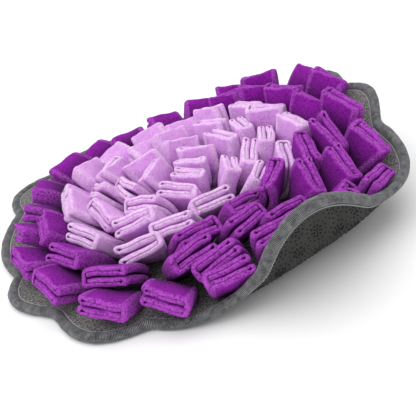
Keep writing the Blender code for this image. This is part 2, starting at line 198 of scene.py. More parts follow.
def new_piece(name, points, faces, material, values=(), places=()):
    """A mesh object with named numbers and named points kept for its material to read."""
    mesh = bpy.data.meshes.new(name)
    mesh.from_pydata(np.asarray(points).tolist(), [], [list(map(int, face)) for face in faces])
    mesh.update()
    for key, numbers in values:
        kept = mesh.attributes.new(key, "FLOAT", "POINT")
        kept.data.foreach_set("value", np.asarray(numbers, np.float32).ravel())
    for key, vectors in places:
        kept = mesh.attributes.new(key, "FLOAT_VECTOR", "POINT")
        kept.data.foreach_set("vector", np.asarray(vectors, np.float32).ravel())
    mesh.shade_smooth()
    mesh.materials.append(material)
    piece = bpy.data.objects.new(name, mesh)
    bpy.context.scene.collection.objects.link(piece)
    return piece


def cloth_net(low, high, ripple_height=0.0):
    """A thin closed sheet over the whole mat: (points, flat places, faces)."""
    rim, outward = scalloped_rim(CLOTH_STATIONS)
    count = len(rim)
    inner = rim - outward * EDGE_BAND
    loops, insets = [], []
    for share in np.linspace(MIDDLE_RING, 1, CLOTH_RINGS):
        loops.append(inner * share)
        insets.append(EDGE_BAND + (1 - share) * (MAT_RADIUS - EDGE_BAND))
    for inset in np.linspace(EDGE_BAND, CLOTH_EDGE, EDGE_RINGS)[1:]:
        loops.append(rim - outward * inset)
        insets.append(inset)
    flat = np.concatenate(loops)
    inset = np.repeat(insets, count)
    meander = RIPPLE_MEANDER * np.sin(flat[:, 1] * RIPPLE_ALONG)
    ripple = np.sin(flat[:, 0] * RIPPLE_ACROSS + meander) * ripple_height
    points = []
    for height in (low, high):
        heights = height + edge_rise(inset) + ripple
        points.append(placed(np.column_stack([flat, heights])))
    points = np.concatenate(points)
    total, last = len(flat), len(loops) - 1
    faces = [list(range(count))[::-1], list(range(total, total + count))]
    for i in range(last):
        near, far = i * count, (i + 1) * count
        for k in range(count):
            m = (k + 1) % count
            faces.append((near + m, far + m, far + k, near + k))
            faces.append((total + near + k, total + far + k, total + far + m, total + near + m))
    for k in range(count):
        a, b = last * count + k, last * count + (k + 1) % count
        faces.append((a, b, total + b, total + a))
    return points, np.column_stack([np.tile(flat, (2, 1)), np.zeros(2 * total)]), faces


# The curl is worked out about the flat mat's own middle, and the frame about the middle of its
# box. The solid backing has seven stations to a lobe, so its box is matched with the same ones.
SOLID_STATIONS = 7
ORIGIN = np.zeros(3)
rim, outward = scalloped_rim(SOLID_STATIONS)
edge = rim - outward * CLOTH_EDGE
edge_points = np.concatenate(
    [
        placed(np.column_stack([edge, np.full(len(edge), height)]))
        for height in (EDGE_RISE, EDGE_RISE + BACKING_HIGH)
    ]
)
box_low, box_high = (np.array(corner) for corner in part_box("grip_backing"))
ORIGIN = (edge_points.min(axis=0) + edge_points.max(axis=0) - box_low - box_high) / 2
ORIGIN[2] = 0


def fibre_material(name, roughness, sheen, sheen_tint):
    """A new soft, matt material: (material, its nodes, its links, its shader)."""
    material = bpy.data.materials.new(name)
    material.use_nodes = True
    tree = material.node_tree
    shader = tree.nodes["Principled BSDF"]
    shader.inputs["Roughness"].default_value = roughness
    shader.inputs["Specular IOR Level"].default_value = 0.2
    shader.inputs["Sheen Weight"].default_value = sheen
    shader.inputs["Sheen Roughness"].default_value = 0.5
    shader.inputs["Sheen Tint"].default_value = (*sheen_tint, 1)
    return material, tree.nodes, tree.links, shader


def noise_of(nodes, links, where, scale, detail=3.0, roughness=0.55):
    """Soft noise between 0 and 1, with this many clouds to the metre."""
    node = nodes.new("ShaderNodeTexNoise")
    node.inputs["Scale"].default_value = scale
    node.inputs["Detail"].default_value = detail
    node.inputs["Roughness"].default_value = roughness
    links.new(where, node.inputs["Vector"])
    return node.outputs["Fac"]


def ramp_of(nodes, links, value, stops):
    """A colour ramp through (position, (r, g, b)) stops."""
    node = nodes.new("ShaderNodeValToRGB")
    elements = node.color_ramp.elements
    while len(elements) < len(stops):
        elements.new(0.5)
    for element, (position, colour) in zip(elements, stops):
        element.position = position
        element.color = (*colour, 1)
    links.new(value, node.inputs["Fac"])
    return node.outputs["Color"]


def mixed(nodes, links, share, first, second, blend="MIX"):
    """first turned into second by share. Each is a socket or a plain colour."""
    node = nodes.new("ShaderNodeMix")
    node.data_type = "RGBA"
    node.blend_type = blend
    for key, value in ((0, share), (6, first), (7, second)):
        if isinstance(value, bpy.types.NodeSocket):
            links.new(value, node.inputs[key])
        else:
            node.inputs[key].default_value = value if key == 0 else (*value, 1)
    return node.outputs[2]


def arithmetic(nodes, links, operation, first, second=0.0):
    """A sum, product or other plain working of two values. Each is a socket or a number."""
    node = nodes.new("ShaderNodeMath")
    node.operation = operation
    for i, value in enumerate((first, second)):
        if isinstance(value, bpy.types.NodeSocket):
            links.new(value, node.inputs[i])
        else:
            node.inputs[i].default_value = value
    return node.outputs[0]


def read_value(nodes, key):
    """The named number that new_piece keeps at each point."""
    node = nodes.new("ShaderNodeAttribute")
    node.attribute_name = key
    return node.outputs["Fac"]


def read_place(nodes, key):
    """The named place that new_piece keeps at each point."""
    node = nodes.new("ShaderNodeAttribute")
    node.attribute_name = key
    return node.outputs["Vector"]


def bumped(nodes, links, shader, height, distance, strength):
    """Gives the material a fine relief of this depth."""
    node = nodes.new("ShaderNodeBump")
    node.inputs["Strength"].default_value = strength
    node.inputs["Distance"].default_value = distance
    links.new(height, node.inputs["Height"])
    links.new(node.outputs["Normal"], shader.inputs["Normal"])


# The knit's loops and blotches: how many there are to the metre, and how much they show.
LOOPS_PER_METRE, LOOPS_SHOW = 1500, 0.7
BLOTCHES_PER_METRE, BLOTCHES_SHOW = 60, 0.3
LOOP_RELIEF = 0.5 * MM
grip, nodes, links, shader = fibre_material("charcoal_grip_cloth", 0.85, 0.05, (0.6, 0.6, 0.6))
where = read_place(nodes, "flat_place")
loops = noise_of(nodes, links, where, LOOPS_PER_METRE, 2.0)
blotches = noise_of(nodes, links, where, BLOTCHES_PER_METRE, 3.0)
knit = arithmetic(nodes, links, "MULTIPLY", loops, LOOPS_SHOW)
blotches = arithmetic(nodes, links, "MULTIPLY", blotches, BLOTCHES_SHOW)
knit = arithmetic(nodes, links, "ADD", knit, blotches)
colour = ramp_of(nodes, links, knit, ((0.32, GRIP_DARK), (0.68, GRIP_LIGHT)))
links.new(colour, shader.inputs["Base Color"])
bumped(nodes, links, shader, loops, LOOP_RELIEF, 0.6)
points, flat_places, faces = cloth_net(BACKING_LOW, BACKING_HIGH)
backing = new_piece("backing_cloth", points, faces, grip, places=[("flat_place", flat_places)])
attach(backing, "root")
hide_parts("grip_backing")

# The dots that stop the mat sliding are printed on the underside in soft black rubber, in small
# rosettes set out in staggered rows, with a loose ring of smaller dots round each.
ROSETTE_PITCH = 23.5 * MM
ROSETTE_ROWS = range(-11, 12)
ROSETTE_COLUMNS = range(-10, 11)
# Rings of a rosette: their radius, how many dots, and the dots' radius.
DOT_RINGS = ((0.0, 1, 0.9), (2.6, 5, 0.9), (5.2, 9, 1.2), (9.6, 14, 0.85))
DOT_STRAY = 0.25
DOT_SIZE_SHARES = (0.8, 1.15)
DOT_HEIGHT = 0.35 * MM
DOT_SIDES = 7
# A dot from its foot to its crown: the share of its width, and the share of its height.
DOT_PROFILE = ((1.0, 0.0), (0.72, 0.75), (0.0, 1.0))
DOTS_CLEAR_OF_RIM = 12 * MM
DOT_RIM_STATIONS = 8
RUBBER_BLACK = (0.003, 0.003, 0.003, 1)


def inside_rim(flat, stations_per_lobe):
    """How far flat places lie inside the rim, measured along the line from the mat's middle."""
    rim, _ = scalloped_rim(stations_per_lobe)
    rim_angle = np.degrees(np.arctan2(rim[:, 1], rim[:, 0])) % 360
    order = np.argsort(rim_angle)
    rim_radius = np.linalg.norm(rim, axis=1)[order]
    angle = np.degrees(np.arctan2(flat[:, 1], flat[:, 0])) % 360
    room = np.interp(angle, rim_angle[order], rim_radius, period=360)
    return room - np.linalg.norm(flat, axis=1)


chance = np.random.default_rng(21)
places, sizes = [], []
for row in ROSETTE_ROWS:
    for column in ROSETTE_COLUMNS:
        middle = np.array([column + 0.5 * (row % 2), row * math.sqrt(0.75)]) * ROSETTE_PITCH
        for ring_mm, count, dot_mm in DOT_RINGS:
            turn = chance.uniform(0, 2 * math.pi)
            for i in range(count):
                angle = turn + 2 * math.pi * i / count
                offset = np.array([math.cos(angle), math.sin(angle)]) * ring_mm * MM
                places.append(middle + offset + chance.normal(0, DOT_STRAY, 2) * MM)
                sizes.append(dot_mm * chance.uniform(*DOT_SIZE_SHARES) * MM)
places, sizes = np.array(places), np.array(sizes)
inset = inside_rim(places, DOT_RIM_STATIONS)
kept = inset > DOTS_CLEAR_OF_RIM
places, sizes, inset = places[kept], sizes[kept], inset[kept]
sides = np.arange(DOT_SIDES) * 2 * math.pi / DOT_SIDES
circle = np.stack([np.cos(sides), np.sin(sides)], -1)
rows = []
for width, drop in DOT_PROFILE:
    around = circle if width else circle[:1]
    spots = places[:, None] + around * width * sizes[:, None, None]
    height = BACKING_LOW + edge_rise(inset) - drop * DOT_HEIGHT
    rows.append(np.dstack([spots, np.repeat(height[:, None], len(around), 1)]))
points = placed(np.concatenate(rows, axis=1)).reshape(-1, 3)
faces = []
stride = 2 * DOT_SIDES + 1
for base in range(0, len(points), stride):
    for k in range(DOT_SIDES):
        m = (k + 1) % DOT_SIDES
        faces.append((base + m, base + k, base + DOT_SIDES + k, base + DOT_SIDES + m))
        faces.append((base + DOT_SIDES + m, base + DOT_SIDES + k, base + 2 * DOT_SIDES))
rubber, nodes, links, shader = fibre_material("black_rubber_dots", 0.8, 0.0, (1, 1, 1))
shader.inputs["Base Color"].default_value = RUBBER_BLACK
dots = new_piece("backing_dots", points, faces, rubber)
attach(dots, "root")

# Top cloth. A soft needle felt in mottled grey-brown lies on the backing, and everything is sewn
# to it. It shows between the petals and the binding.
FELT_LOW = 2.1 * MM
FELT_HIGH = 4.1 * MM
FELT_RIPPLE = 0.12 * MM
FELT_DARK = (0.012, 0.011, 0.011)
FELT_GREY = (0.130, 0.123, 0.119)
FELT_LIGHT = (0.33, 0.32, 0.31)
FELT_CLOUDS = (0.15, 0.142, 0.138)
CLOUDS_PER_METRE, CLOUDS_SHOW = 90, 0.35
FLECKS_PER_METRE = 520
HAIRS_PER_METRE, HAIR_RELIEF = 2200, 0.8 * MM
felt, nodes, links, shader = fibre_material("mottled_felt", 0.95, 0.25, (0.9, 0.88, 0.85))
where = read_place(nodes, "flat_place")
flecks = noise_of(nodes, links, where, FLECKS_PER_METRE, 4.0, 0.7)
clouds = noise_of(nodes, links, where, CLOUDS_PER_METRE, 2.0)
hairs = noise_of(nodes, links, where, HAIRS_PER_METRE, 2.0)
stops = ((0.42, FELT_DARK), (0.5, FELT_GREY), (0.60, FELT_LIGHT))
colour = ramp_of(nodes, links, flecks, stops)
clouds = arithmetic(nodes, links, "MULTIPLY", clouds, CLOUDS_SHOW)
colour = mixed(nodes, links, clouds, colour, FELT_CLOUDS)
links.new(colour, shader.inputs["Base Color"])
bumped(nodes, links, shader, hairs, HAIR_RELIEF, 0.6)
points, flat_places, faces = cloth_net(FELT_LOW, FELT_HIGH, FELT_RIPPLE)
top_cloth = new_piece("felt_cloth", points, faces, felt, places=[("flat_place", flat_places)])
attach(top_cloth, "root")
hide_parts("felt_base")

# Edge binding. A strip of dark grey velvety knit is rolled round the edges of both cloths into a
# plump cord and overlocked, so that it shows fine ribs across it. It gathers where lobes meet.
BINDING_WIDTH = 9.2 * MM
BINDING_HEIGHT = 8.6 * MM
BINDING_SIDES = 18
BINDING_STATIONS = 56
RIB_PITCH = 1.25 * MM
RIB_DEPTH = 0.22
# The gathers at each notch, and the slow swells of the cord, so many to the whole rim.
GATHER_REACH = 13 * MM
GATHER_PITCH = 4.3 * MM
GATHER_DEPTH = 0.42 * MM
SWELLS = (23, 41, 67, 97)
SWELL_DEPTH = 0.12 * MM
SIDEWAYS_SWELL = 0.8
# The binding's colours from dark to light; the light patches of the crushed pile carry painted
# highlights.
VELVET_DARK = (0.010, 0.0105, 0.011)
VELVET_GREY = (0.052, 0.054, 0.056)
VELVET_LIGHT = (0.24, 0.243, 0.248)
# Crushed pile: patches of its own tone, with painted highlights in the lighter ones.
CRUSH_HIGHLIGHTS_PER_METRE = 160
FUZZ_PER_METRE, FUZZ_SHOWS, FUZZ_RISES = 1400, 0.25, 0.8
# The ribs wander by this much, in radians of their own turn.
WOBBLES_PER_METRE, RIB_WOBBLE = 300, 5.0
VELVET_RELIEF = 0.5 * MM
chance = np.random.default_rng(5)
rim, outward = scalloped_rim(BINDING_STATIONS)
count = len(rim)
steps = np.linalg.norm(np.roll(rim, -1, axis=0) - rim, axis=1)
travelled = np.concatenate([[0], np.cumsum(steps)[:-1]])
rim_length = steps.sum()
notch_at = travelled[::BINDING_STATIONS]
away = np.abs((travelled[:, None] - notch_at + rim_length / 2) % rim_length - rim_length / 2)
nearest, away = away.argmin(axis=1), away.min(axis=1)
gather = (1 - smooth_step(away / GATHER_REACH)) * GATHER_DEPTH
gather *= np.sin(away / GATHER_PITCH * 2 * math.pi + nearest)
swell = sum(
    np.sin(travelled * 2 * math.pi / rim_length * n + chance.uniform(0, 7)) * SWELL_DEPTH
    for n in SWELLS
)
turn = np.arange(BINDING_SIDES) * 2 * math.pi / BINDING_SIDES
across, upright = np.cos(turn), np.sin(turn)
grow = (gather + swell)[:, None]
half_width = BINDING_WIDTH / 2 + grow * SIDEWAYS_SWELL
half_height = BINDING_HEIGHT / 2 + grow
inset = BINDING_WIDTH / 2 - across * half_width
# Its underside stays level, because it lies on the floor.
height = BINDING_HEIGHT / 2 + upright * np.where(upright > 0, half_height, BINDING_HEIGHT / 2)
spots = rim[:, None] - outward[:, None] * inset[..., None]
points = placed(np.dstack([spots, height])).reshape(-1, 3)
faces = []
for i in range(count):
    near, far = i * BINDING_SIDES, (i + 1) % count * BINDING_SIDES
    for k in range(BINDING_SIDES):
        m = (k + 1) % BINDING_SIDES
        faces.append((near + k, far + k, far + m, near + m))
run = np.repeat(travelled / rim_length, BINDING_SIDES)
run_radius = rim_length / (2 * math.pi)
place = np.column_stack(
    [
        np.cos(run * 2 * math.pi) * run_radius,
        np.sin(run * 2 * math.pi) * run_radius,
        np.tile(turn, count) * BINDING_WIDTH / 2,
    ]
)
ribs = round(rim_length / RIB_PITCH)
velvet, nodes, links, shader = fibre_material("grey_velvet_binding", 0.9, 0.25, (0.8, 0.82, 0.86))
where = read_place(nodes, "run_place")
# The crushed pile's patchy tone, with painted highlights in it.
crushes_and_highlights = noise_of(nodes, links, where, CRUSH_HIGHLIGHTS_PER_METRE, 4.0, 0.65)
fuzz = noise_of(nodes, links, where, FUZZ_PER_METRE, 2.0)
wobble = noise_of(nodes, links, where, WOBBLES_PER_METRE, 2.0)
wobble = arithmetic(nodes, links, "MULTIPLY", wobble, RIB_WOBBLE)
phase = arithmetic(nodes, links, "MULTIPLY", read_value(nodes, "run"), ribs * 2 * math.pi)
rib = arithmetic(nodes, links, "SINE", arithmetic(nodes, links, "ADD", phase, wobble))
rib = arithmetic(nodes, links, "MULTIPLY", rib, RIB_DEPTH)
shade = arithmetic(nodes, links, "ADD", crushes_and_highlights, rib)
dust = arithmetic(nodes, links, "MULTIPLY", fuzz, FUZZ_SHOWS)
shade = arithmetic(nodes, links, "ADD", shade, dust)
stops = ((0.28, VELVET_DARK), (0.55, VELVET_GREY), (0.90, VELVET_LIGHT))
links.new(ramp_of(nodes, links, shade, stops), shader.inputs["Base Color"])
relief = arithmetic(nodes, links, "MULTIPLY", fuzz, FUZZ_RISES)
relief = arithmetic(nodes, links, "ADD", rib, relief)
bumped(nodes, links, shader, relief, VELVET_RELIEF, 0.7)
binding = new_piece(
    "rolled_binding", points, faces, velvet, values=[("run", run)], places=[("run_place", place)]
)
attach(binding, "root")
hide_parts("edge_binding")

# Two lines of light grey lockstitch run just inside the binding, one on top and one underneath,
# and hold it to both cloths. Each stitch is a short length of thread that dips in at both ends.
STITCH_PITCH = 2.8 * MM
STITCH_LENGTH = 2.7 * MM
THREAD_RADIUS = 0.45 * MM
THREAD_SIDES = 6
THREAD_STATIONS = np.linspace(-0.5, 0.5, 5)
THREAD_GREY = (0.42, 0.42, 0.42, 1)
# Each line: how far inside the rim it runs, the height of its cloth, and how far it stands off.
STITCH_LINES = (
    (BINDING_WIDTH + 0.5 * MM, FELT_HIGH + EDGE_RISE, 0.45 * MM),
    (BINDING_WIDTH + 0.3 * MM, BACKING_LOW + EDGE_RISE, -0.35 * MM),
)
stitches = round(rim_length / STITCH_PITCH)
thread_turn = 2 * math.pi / THREAD_SIDES
points, faces = [], []
for line_inset, level, lift in STITCH_LINES:
    line = rim - outward * line_inset
    middle = (np.arange(stitches) + 0.5) * rim_length / stitches
    along = middle[:, None] + THREAD_STATIONS * STITCH_LENGTH
    spots = np.stack(
        [np.interp(along, travelled, line[:, axis], period=rim_length) for axis in (0, 1)], -1
    )
    arch = 1 - (2 * THREAD_STATIONS) ** 2
    heights = np.broadcast_to(level + lift * (2 * arch - 1), along.shape)
    threads = placed(np.dstack([spots, heights]))
    ahead = threads[:, -1] - threads[:, 0]
    ahead /= np.linalg.norm(ahead, axis=1, keepdims=True)
    upwards = upward(spots[:, 2, 0], spots[:, 2, 1])[2]
    sideways = np.cross(ahead, upwards)
    for thread, side, up in zip(threads, sideways, upwards):
        base = len(points)
        for centre in thread:
            for k in range(THREAD_SIDES):
                turn = thread_turn * k
                spoke = side * math.cos(turn) + up * math.sin(turn)
                points.append(centre + spoke * THREAD_RADIUS)
        for i in range(len(thread) - 1):
            for k in range(THREAD_SIDES):
                m = (k + 1) % THREAD_SIDES
                a, b = base + i * THREAD_SIDES, base + (i + 1) * THREAD_SIDES
                faces.append((a + k, b + k, b + m, a + m))
thread_material, nodes, links, shader = fibre_material("light_grey_thread", 0.7, 0.2, (1, 1, 1))
shader.inputs["Base Color"].default_value = THREAD_GREY
stitching = new_piece("binding_stitches", points, faces, thread_material)
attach(stitching, "root")

# Fleece petals. Each is a strip of thick fleece with both edges folded in and then folded again,
# so that it is four layers in two flat rolls, joined down one side and open down the other. It is
# sewn to the felt by one end, and leans out against the petals of the next ring.
LAYER = 3.9 * MM
LAYER_GAP = 0.12 * MM
SLIT = 0.7 * MM
HALF_THICK = 2 * LAYER + LAYER_GAP + SLIT / 2
BAR_MIDDLE = HALF_THICK / 2 + SLIT / 4
# The strip's two folds: the tight one on the open side, where the fleece is squashed thinner, and
# the wide one of the spine, which joins the two rolls.
FOLD_RADIUS = 2.55 * MM
FOLD_STARTS = 8 * MM
FOLD_THINNING = 0.35
# The tight fold's painted highlight on its outer face, and its stiffness at the tip.
FOLD_HIGHLIGHT_AND_STIFFNESS = 1.0
SPINE_RADIUS = 3.2 * MM
SPINE_STARTS = 3 * MM
# The spine's painted highlight on its outer face, and its stiffness at the tip.
SPINE_HIGHLIGHT_AND_STIFFNESS = 0.8
EDGE_TUCK = 1.2 * MM
# The points along the strip's inner layer, its fold, its outer layer and its spine, in degrees
# where it turns.
INNER_POINTS = 6
FOLD_POINTS = np.linspace(100, -100, 11)
OUTER_POINTS = 8
SPINE_POINTS = np.linspace(-90, -180, 5)
# A petal is gathered at its root, and full from its shoulder on.
ROOT_SHARE = 0.62
SHOULDER = 0.38
ROOT_LEAN_SHARE = 0.55
FOOT = 5.0 * MM
# The petals lean outward by their ring's near lean, falling to its far lean at the far side.
FAR_DIRECTION = 42.0
FAR_NARROWING = 6
# How much further out than the rim's lobes the rings of petals stand, lobe by lobe.
PETALS_OUT_MM = (-38, -30, -14, 4, 20, 22, 10, 12, 12, 10, 4, -22)
# Each ring's share of the mat's radius, how many pitches it has and how many petals, where the
# first one is, the leans, the petals' size, and how far lean, heading and twist may stray.
Ring = collections.namedtuple(
    "Ring", "name share pitches petals first_deg near_lean far_lean width_mm length_mm strays"
)
RINGS = (
    Ring("outer", 0.675, 22, 22, 13.4, 77, 45, 43, 52, (5, 10, 14)),
    Ring("second", 0.56, 20, 13, 204, 72, 40, 43, 56, (7, 12, 14)),
    Ring("third", 0.45, 17, 17, 3, 68, 28, 43, 55, (8, 14, 18)),
    Ring("fourth", 0.32, 13, 13, 343, 62, 24, 43, 51, (8, 18, 22)),
    Ring("fifth", 0.215, 8, 8, 5, 54, 18, 43, 47, (9, 22, 30)),
    Ring("inner", 0.13, 4, 4, 66, 36, 8, 40, 43, (7, 25, 35)),
    Ring("middle", 0.045, 2, 2, 80, 8, 2, 34, 40, (3, 8, 14)),
)
# Petals that stand or head quite unlike their ring: (ring, petal): (lean, heading, twist).
STAND_OUTS = {
    ("outer", 0): (76, 0, -40),
    ("outer", 1): (84, -12, -12),
    ("outer", 2): (44, 0, -44),
    ("outer", 5): (84, 8, 6),
    ("outer", 6): (86, -10, -8),
    ("outer", 7): (86, 6, 10),
    ("outer", 8): (84, -6, -6),
    ("outer", 20): (64, 0, -36),
    ("outer", 21): (60, 0, -34),
    ("second", 3): (70, 38, 0),
    ("second", 7): (52, 0, -50),
    ("second", 8): (52, 0, -46),
    ("second", 9): (58, 0, -42),
    ("second", 10): (52, 0, -46),
    ("second", 11): (40, 0, -42),
    ("third", 0): (50, 0, -10),
    ("third", 1): (30, 0, -42),
    ("third", 4): (72, 8, -6),
    ("third", 5): (76, -12, 8),
    ("third", 6): (76, 10, -4),
    ("third", 11): (70, 42, 0),
    ("third", 12): (54, 45, 0),
    ("third", 13): (60, 32, 4),
    ("third", 15): (45, 0, -56),
    ("third", 16): (45, 0, -44),
    ("fourth", 11): (46, 35, 4),
    ("fourth", 12): (24, 0, -10),
}
# The pieces of the model: the first petal of a ring and the one past the last, their fleece, and
# the numbers of the frame's nodes that they take the place of.
GROUPS = (
    ("petals_outer_ring", "outer", 0, 22, "purple", range(1, 12)),
    ("petals_second_ring", "second", 0, 13, "purple", range(1, 8)),
    ("petals_third_ring", "third", 0, 12, "lilac", range(1, 6)),
    ("petals_third_dark", "third", 12, 17, "purple", range(6, 8)),
    ("petals_fourth_ring", "fourth", 0, 11, "lilac", range(1, 6)),
    ("petals_fourth_dark", "fourth", 11, 13, "purple", range(6, 7)),
    ("petals_fifth_ring", "fifth", 0, 8, "lilac", range(1, 5)),
    ("petals_inner_ring", "inner", 0, 4, "lilac", range(1, 3)),
    ("petals_middle", "middle", 0, 2, "lilac", range(1, 2)),
)
# The grid that a petal's middle surface is worked out on, along it and across it.
SHEET_SHARES = np.linspace(0, 1, 9)
SHEET_ACROSS = np.linspace(-1, 1, 7)
# How the petals settle: the share of its length from which a petal moves freely, how near two
# roots are for their petals to meet, how much of a push is taken in a turn, how much a petal
# takes after its neighbouring rows, and how much it is drawn straight across.
SETTLING_TURNS = 45
FREE_FROM = 0.3
PETALS_MEET = 85 * MM
PUSH_TAKEN = 0.7
SMOOTHING = 0.2
STRAIGHTENING = 0.45
# The pairs of petals worked out together, the least distance that a push is divided by, the turns
# from one look at the mat below to the next, and the rows by the root that the mat doesn't lift.
PAIRS_AT_ONCE = 120
LEAST_DISTANCE = 0.1 * MM
GROUND_EVERY = 3
ROOT_ROWS = 2


def petal_sheet(share, degrees, lean, heading, twist, width, length):
    """The middle surface of a petal before it meets its neighbours, as a grid of points."""
    notches, radii = lobe_spans()
    radii = radii + np.array(PETALS_OUT_MM) * MM
    radius = np.interp(degrees, (notches[:-1] + notches[1:]) / 2, radii, period=360)
    u, v = on_ring(share * radius, degrees)
    across, along, normal = upward(u, v)
    root = placed([u, v, FOOT])
    angle = math.radians(degrees)
    outward = across * math.cos(angle) + along * math.sin(angle)
    sideways = along * math.cos(angle) - across * math.sin(angle)
    out = outward * math.cos(heading) + sideways * math.sin(heading)
    side = sideways * math.cos(heading) - outward * math.sin(heading)
    rows = []
    centre = root
    before = 0.0
    for reached in SHEET_SHARES:
        bend = lean * (ROOT_LEAN_SHARE + (1 - ROOT_LEAN_SHARE) * reached)
        axis = normal * math.cos(bend) + out * math.sin(bend)
        centre = centre + axis * (reached - before) * length
        before = reached
        face = out * math.cos(bend) - normal * math.sin(bend)
        turned = twist * reached
        wide = side * math.cos(turned) + face * math.sin(turned)
        full = ROOT_SHARE + (1 - ROOT_SHARE) * smooth_step(reached / SHOULDER)
        rows.append(centre + wide * (SHEET_ACROSS * width / 2 * full)[:, None])
    return np.array(rows)


def settled(sheets, roots):
    """Moves the petals' sheets apart until they rest against each other and on the mat."""
    count = len(sheets)
    full = smooth_step(SHEET_SHARES / SHOULDER)
    thick = HALF_THICK * (ROOT_SHARE + (1 - ROOT_SHARE) * full)
    reach = np.repeat(thick, len(SHEET_ACROSS))
    free = smooth_step(SHEET_SHARES / FREE_FROM)[None, :, None, None]
    lengths = np.linalg.norm(np.diff(sheets, axis=1), axis=-1)
    spans = np.linalg.norm(sheets[:, :, -1] - sheets[:, :, 0], axis=-1)
    pairs = [
        (a, b)
        for a in range(count)
        for b in range(a)
        if np.linalg.norm(roots[a] - roots[b]) < PETALS_MEET
    ]
    first, second = np.array(pairs).T
    ground = KDTree(len(ground_points))
    for i, point in enumerate(ground_points):
        ground.insert(point, i)
    ground.balance()
    start = sheets.copy()
    for turn in range(SETTLING_TURNS):
        flat = sheets.reshape(count, -1, 3)
        push = pushes_apart(flat, reach, first, second)
        if turn % GROUND_EVERY == 0:
            lift = lifts(flat, reach, ground)
        push = blurred((push + lift).reshape(sheets.shape))
        moved = sheets + push * free * PUSH_TAKEN - start
        between = moved[:, :-2] + moved[:, 2:]
        moved[:, 1:-1] = moved[:, 1:-1] * (1 - 2 * SMOOTHING) + between * SMOOTHING
        sheets = start + moved
        # Each petal keeps its length and its width, and stays nearly straight across.
        for i in range(1, len(SHEET_SHARES)):
            ahead = sheets[:, i] - sheets[:, i - 1]
            ahead /= np.linalg.norm(ahead, axis=-1, keepdims=True)
            sheets[:, i] = sheets[:, i - 1] + ahead * lengths[:, i - 1][..., None]
        middle = sheets.mean(axis=2, keepdims=True)
        wide = sheets[:, :, -1] - sheets[:, :, 0]
        wide *= (spans / np.linalg.norm(wide, axis=-1))[..., None]
        straight = middle + wide[:, :, None] * (SHEET_ACROSS / 2)[None, None, :, None]
        sheets = sheets * (1 - STRAIGHTENING) + straight * STRAIGHTENING
    return sheets


def pushes_apart(flat, reach, first, second):
    """The mean push on each point of each petal from the points of other petals it presses on."""
    push = np.zeros_like(flat)
    met = np.zeros(flat.shape[:2])
    for at in range(0, len(first), PAIRS_AT_ONCE):
        a, b = first[at : at + PAIRS_AT_ONCE], second[at : at + PAIRS_AT_ONCE]
        apart = flat[a][:, :, None] - flat[b][:, None]
        distance = np.linalg.norm(apart, axis=-1)
        overlap = reach[None, :, None] + reach[None, None] - distance
        hit = overlap > 0
        amount = np.where(hit, overlap, 0) / np.maximum(distance, LEAST_DISTANCE) / 2
        np.add.at(push, a, (apart * amount[..., None]).sum(axis=2))
        np.add.at(push, b, -(apart * amount[..., None]).sum(axis=1))
        np.add.at(met, a, hit.sum(axis=2))
        np.add.at(met, b, hit.sum(axis=1))
    return push / np.maximum(met, 1)[..., None]


def lifts(flat, reach, ground):
    """How far each point of each petal has to rise off the mat, past the rows by its root."""
    lift = np.zeros_like(flat)
    for n in range(len(flat)):
        for i in range(ROOT_ROWS * len(SHEET_ACROSS), flat.shape[1]):
            _, index, _ = ground.find(flat[n, i])
            rise = (flat[n, i] - ground_points[index]) @ ground_normals[index]
            if rise < reach[i]:
                lift[n, i] = ground_normals[index] * (reach[i] - rise)
    return lift


def blurred(push):
    """The pushes, each shared with the points next to it along the petal and across it."""
    for axis in (1, 2):
        wide = [(0, 0)] * 4
        wide[axis] = (1, 1)
        padded = np.pad(push, wide, mode="edge")
        low, high = [slice(None)] * 4, [slice(None)] * 4
        low[axis], high[axis] = slice(None, -2), slice(2, None)
        push = push / 2 + (padded[tuple(low)] + padded[tuple(high)]) / 4
    return push


def folded_path(width):
    """The strip's line across a petal, its normals, and its folds' painted highlight and stiffness.
    """
    half = width / 2
    outer, inner = HALF_THICK - LAYER / 2, SLIT / 2 + LAYER / 2
    middle = -(outer + inner) / 2
    line = []
    for x in np.linspace(-half + LAYER + EDGE_TUCK, half - FOLD_STARTS, INNER_POINTS):
        line.append((x, -inner, 0.0))
    for angle in np.radians(FOLD_POINTS):
        x = half - LAYER / 2 - FOLD_RADIUS * (1 - math.cos(angle))
        line.append((x, middle + FOLD_RADIUS * math.sin(angle), FOLD_HIGHLIGHT_AND_STIFFNESS))
    spine_starts = -half + SPINE_RADIUS + SPINE_STARTS
    for x in np.linspace(half - FOLD_STARTS, spine_starts, OUTER_POINTS):
        line.append((x, -outer, 0.0))
    for angle in np.radians(SPINE_POINTS):
        x = -half + SPINE_RADIUS + LAYER / 2 + SPINE_RADIUS * math.cos(angle)
        line.append((x, -outer + SPINE_RADIUS + SPINE_RADIUS * math.sin(angle), SPINE_HIGHLIGHT_AND_STIFFNESS))
    line = np.array(line)
    mirrored = line[::-1] * (1, -1, 1)
    line = np.concatenate([line, mirrored])
    ahead = np.gradient(line[:, :2], axis=0)
    normal = np.stack([-ahead[:, 1], ahead[:, 0]], -1)
    normal /= np.linalg.norm(normal, axis=1, keepdims=True)
    return line[:, :2], normal, line[:, 2]


# The shape of a petal along its length: the shares of it that have a section, and the steps of
# the rounding at its tip, where the layers thin, draw in and close up, less so at their folds.
PETAL_STATIONS = np.array([0, 0.1, 0.2, 0.3, 0.42, 0.54, 0.66, 0.78, 0.88, 0.95])
ROUNDING_STEPS = np.array([1, 0.6, 0.25, 0])
TIP_ROUNDING = 2.6 * MM
TIP_THINNING = 0.22
TIP_DRAWING_IN = 0.8
CLOSED_BY = 1.02 * LAYER
FOLD_STIFFNESS = 0.6
CUT_EDGE = 3 * MM
PUFF = 0.7 * MM
PUFF_ENDS = 0.93
